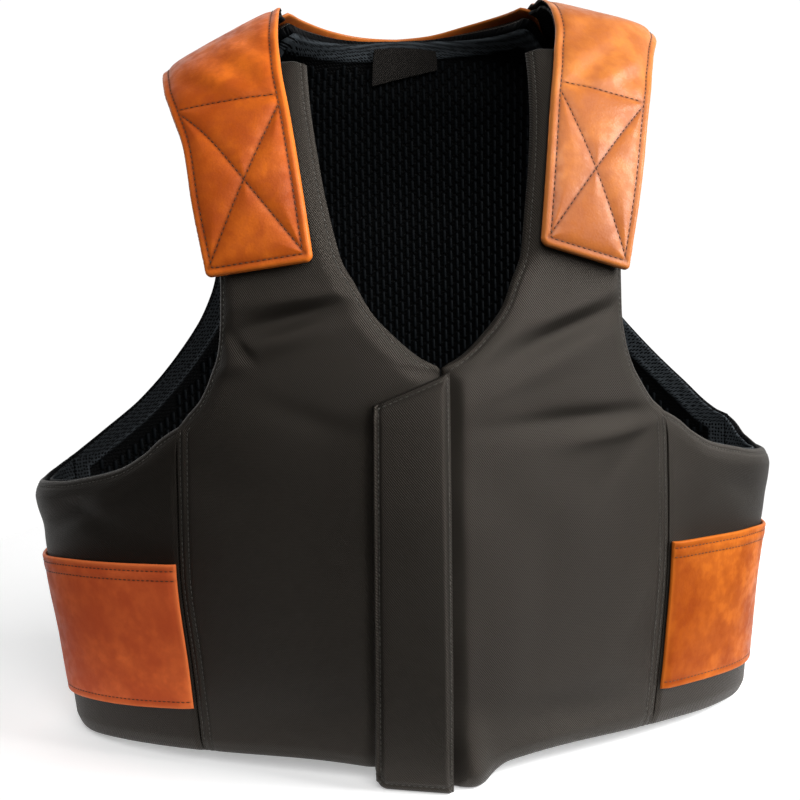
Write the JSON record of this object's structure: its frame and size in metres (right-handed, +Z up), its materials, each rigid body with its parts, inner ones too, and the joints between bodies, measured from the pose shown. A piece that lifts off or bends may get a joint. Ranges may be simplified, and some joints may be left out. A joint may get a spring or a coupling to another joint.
{
  "type": "equestrian protective vest",
  "caption": "Padded riding vest with leather shoulder straps and side patches, a V neck, a front closure flap and a ribbed mesh lining; it stands on its hem and guards a rider's torso.",
  "frame": {"origin": "on the floor under the middle of the vest's bounding box", "axes": "+X to the wearer's left, +Y to the wearer's back, +Z up along the body"},
  "size_m": [0.48, 0.2318, 0.4558],
  "materials": {
    "twill": "matt dark twill nylon with a faint sheen",
    "leather": "waxed tan leather, mottled, semi-gloss",
    "lining": "black ribbed mesh",
    "label": "woven black tape, blank"
  },
  "bodies": {
    "root": {"front_panel_right": "twill", "front_panel_left": "twill", "closure_flap": "twill", "side_panel_right": "twill", "side_panel_left": "twill", "side_pocket_right": "leather", "side_pocket_left": "leather", "back_panel": "twill", "back_yoke": "leather", "shoulder_strap_right": "leather", "shoulder_strap_left": "leather", "strap_lining_right": "lining", "strap_lining_left": "lining", "back_lining": "lining", "side_lining_right": "lining", "side_lining_left": "lining", "neck_label": "label"}
  },
  "joints": []
}
